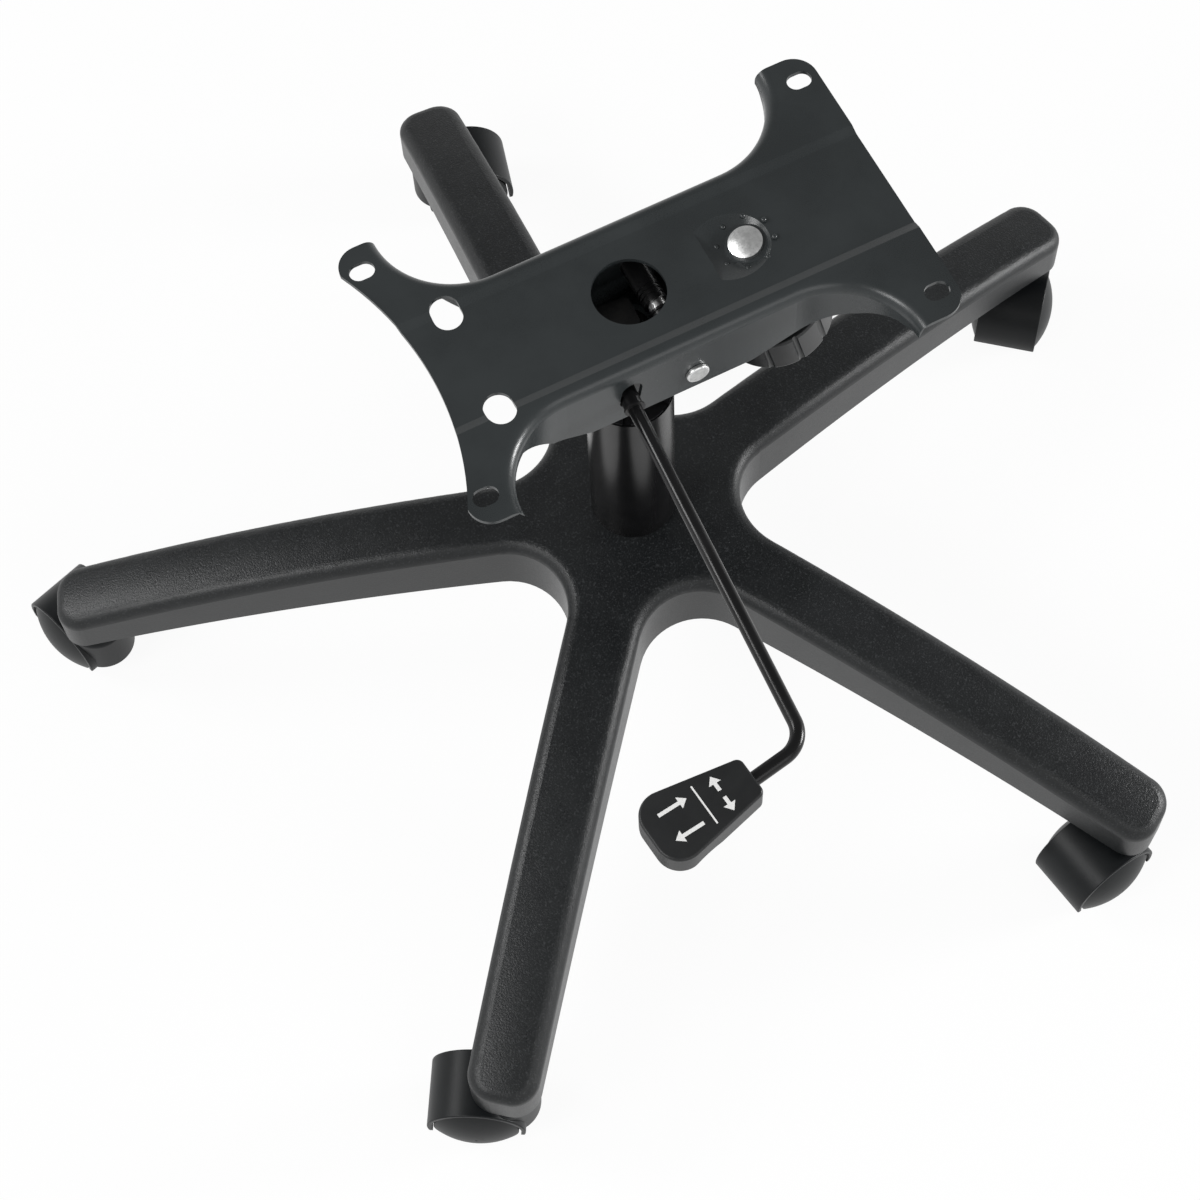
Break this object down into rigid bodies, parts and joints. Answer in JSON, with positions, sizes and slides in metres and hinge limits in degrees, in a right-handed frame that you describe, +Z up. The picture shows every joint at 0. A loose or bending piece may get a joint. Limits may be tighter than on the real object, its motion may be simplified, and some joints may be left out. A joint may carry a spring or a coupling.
{
  "type": "office chair underframe",
  "caption": "Office chair underframe: moulded star base on hooded casters, gas lift column and tilt mechanism with slotted seat plate, tension knob and height lever.",
  "frame": {"origin": "on the floor under the axis of the gas lift column", "axes": "+Z up the column, +X to the front of the seat, -Y to the sitter's right where the lever is"},
  "size_m": [0.6987, 0.6765, 0.3824],
  "materials": {
    "base_nylon": "fine moulded grain, charcoal black",
    "plate_coat": "satin powder coat, dark grey",
    "gloss_black": "gloss black enamel",
    "zinc": "bright zinc plate",
    "steel": "plain ground steel",
    "spring_steel": "black oxide",
    "caster_nylon": "satin moulded nylon",
    "wheel_nylon": "satin moulded nylon tread",
    "guide_plastic": "smooth acetal",
    "knob_plastic": "satin moulded plastic",
    "paddle_plastic": "satin moulded plastic",
    "bumper_rubber": "plain rubber"
  },
  "bodies": {
    "base": {"star_base": "base_nylon", "hub_ring": "steel", "column_tube": "gloss_black", "guide_sleeve": "guide_plastic", "bearing_lower_race": "steel", "bearing_balls": "steel", "stem_grip_rings": "steel", "caster_1_stem": "zinc", "caster_2_stem": "zinc", "caster_3_stem": "zinc", "caster_4_stem": "zinc", "caster_5_stem": "zinc"},
    "lift_rod": {"piston_rod": "steel", "piston": "steel", "bearing_upper_race": "steel", "bump_stop": "bumper_rubber", "rod_washer": "zinc", "rod_clip": "zinc"},
    "mechanism": {"gas_cylinder": "gloss_black", "cylinder_gland": "guide_plastic", "tilt_bracket": "plate_coat", "taper_socket": "plate_coat", "pivot_pin": "zinc", "pivot_clip": "zinc", "pivot_bushes": "guide_plastic", "pivot_tubes": "guide_plastic", "tension_spring": "spring_steel"},
    "valve": {"valve_button": "steel"},
    "seat": {"seat_plate": "plate_coat", "tension_bolt": "zinc"},
    "tension_carrier": {"spring_seat": "zinc"},
    "knob": {"tension_knob": "knob_plastic", "tension_nut": "zinc"},
    "lever_carrier": {"lever_bush": "guide_plastic"},
    "lever": {"lever_rod": "gloss_black", "lever_clips": "spring_steel", "lever_tongue": "spring_steel", "lever_paddle": "paddle_plastic"},
    "caster_1": {"caster_1_hood": "caster_nylon", "caster_1_axle": "steel"},
    "caster_1_left": {"caster_1_left_wheel": "wheel_nylon"},
    "caster_1_right": {"caster_1_right_wheel": "wheel_nylon"},
    "caster_2": {"caster_2_hood": "caster_nylon", "caster_2_axle": "steel"},
    "caster_2_left": {"caster_2_left_wheel": "wheel_nylon"},
    "caster_2_right": {"caster_2_right_wheel": "wheel_nylon"},
    "caster_3": {"caster_3_hood": "caster_nylon", "caster_3_axle": "steel"},
    "caster_3_left": {"caster_3_left_wheel": "wheel_nylon"},
    "caster_3_right": {"caster_3_right_wheel": "wheel_nylon"},
    "caster_4": {"caster_4_hood": "caster_nylon", "caster_4_axle": "steel"},
    "caster_4_left": {"caster_4_left_wheel": "wheel_nylon"},
    "caster_4_right": {"caster_4_right_wheel": "wheel_nylon"},
    "caster_5": {"caster_5_hood": "caster_nylon", "caster_5_axle": "steel"},
    "caster_5_left": {"caster_5_left_wheel": "wheel_nylon"},
    "caster_5_right": {"caster_5_right_wheel": "wheel_nylon"}
  },
  "joints": [
    {"name": "seat_swivel", "type": "hinge", "parent": "base", "child": "lift_rod", "pos_m": [0, 0, 0.093], "axis": [0, 0, 1], "continuous": true},
    {"name": "seat_lift", "type": "slide", "parent": "lift_rod", "child": "mechanism", "axis": [0, 0, 1], "range_m": [0, 0.1]},
    {"name": "seat_tilt", "type": "hinge", "parent": "mechanism", "child": "seat", "pos_m": [0.019, 0, 0.351], "axis": [0, -1, 0], "range_deg": [0, 12], "stiffness_Nm_per_rad": 60, "springref_deg": -14.32, "deforming": ["tension_spring"]},
    {"name": "tension_travel", "type": "slide", "parent": "seat", "child": "tension_carrier", "axis": [-0.225, 0, 0.9744], "range_m": [0, 0.0046], "deforming": ["tension_spring"]},
    {"name": "tension_turn", "type": "hinge", "parent": "tension_carrier", "child": "knob", "pos_m": [0.089, 0, 0.29805], "axis": [-0.225, 0, 0.9744], "range_deg": [0, 1080]},
    {"name": "lever_slide", "type": "slide", "parent": "mechanism", "child": "lever_carrier", "axis": [-0.053, -0.9986, 0], "range_m": [0, 0.008]},
    {"name": "lever_lift", "type": "hinge", "parent": "lever_carrier", "child": "lever", "pos_m": [-0.0178, 0, 0.353], "axis": [0.053, 0.9986, 0], "range_deg": [0, 11], "stiffness_Nm_per_rad": 0.95, "springref_deg": -6.3},
    {"name": "valve_press", "type": "slide", "parent": "mechanism", "child": "valve", "axis": [0, 0, 1], "range_m": [-0.0036, 0], "stiffness_N_per_m": 30, "springref_m": 0.004},
    {"name": "caster_1_swivel", "type": "hinge", "parent": "base", "child": "caster_1", "pos_m": [0.32823, 0.08476, 0.055], "axis": [0, 0, 1], "continuous": true},
    {"name": "caster_1_left_roll", "type": "hinge", "parent": "caster_1", "child": "caster_1_left", "pos_m": [0.31602, 0.07021, 0.025], "axis": [0.766, -0.6428, 0], "continuous": true},
    {"name": "caster_1_right_roll", "type": "hinge", "parent": "caster_1", "child": "caster_1_right", "pos_m": [0.31602, 0.07021, 0.025], "axis": [0.766, -0.6428, 0], "continuous": true},
    {"name": "caster_2_swivel", "type": "hinge", "parent": "base", "child": "caster_2", "pos_m": [0.02081, 0.33836, 0.055], "axis": [0, 0, 1], "continuous": true},
    {"name": "caster_2_left_roll", "type": "hinge", "parent": "caster_2", "child": "caster_2_left", "pos_m": [0.03917, 0.33344, 0.025], "axis": [0.2588, 0.9659, 0], "continuous": true},
    {"name": "caster_2_right_roll", "type": "hinge", "parent": "caster_2", "child": "caster_2_right", "pos_m": [0.03917, 0.33344, 0.025], "axis": [0.2588, 0.9659, 0], "continuous": true},
    {"name": "caster_3_swivel", "type": "hinge", "parent": "base", "child": "caster_3", "pos_m": [-0.31537, 0.12435, 0.055], "axis": [0, 0, 1], "continuous": true},
    {"name": "caster_3_left_roll", "type": "hinge", "parent": "caster_3", "child": "caster_3_left", "pos_m": [-0.32124, 0.14242, 0.025], "axis": [-0.9511, -0.309, 0], "continuous": true},
    {"name": "caster_3_right_roll", "type": "hinge", "parent": "caster_3", "child": "caster_3_right", "pos_m": [-0.32124, 0.14242, 0.025], "axis": [-0.9511, -0.309, 0], "continuous": true},
    {"name": "caster_4_swivel", "type": "hinge", "parent": "base", "child": "caster_4", "pos_m": [-0.21572, -0.2615, 0.055], "axis": [0, 0, 1], "continuous": true},
    {"name": "caster_4_left_roll", "type": "hinge", "parent": "caster_4", "child": "caster_4_left", "pos_m": [-0.23218, -0.252, 0.025], "axis": [-0.5, -0.866, 0], "continuous": true},
    {"name": "caster_4_right_roll", "type": "hinge", "parent": "caster_4", "child": "caster_4_right", "pos_m": [-0.23218, -0.252, 0.025], "axis": [-0.5, -0.866, 0], "continuous": true},
    {"name": "caster_5_swivel", "type": "hinge", "parent": "base", "child": "caster_5", "pos_m": [0.18205, -0.28597, 0.055], "axis": [0, 0, 1], "continuous": true},
    {"name": "caster_5_left_roll", "type": "hinge", "parent": "caster_5", "child": "caster_5_left", "pos_m": [0.16331, -0.28911, 0.025], "axis": [0.165, -0.9863, 0], "continuous": true},
    {"name": "caster_5_right_roll", "type": "hinge", "parent": "caster_5", "child": "caster_5_right", "pos_m": [0.16331, -0.28911, 0.025], "axis": [0.165, -0.9863, 0], "continuous": true}
  ],
  "couplings": [
    {"joint": "tension_travel", "follows": "tension_turn", "m_per_rad": 0.00023873},
    {"joint": "valve_press", "follows": "lever_lift", "m_per_rad": -0.0178}
  ]
}
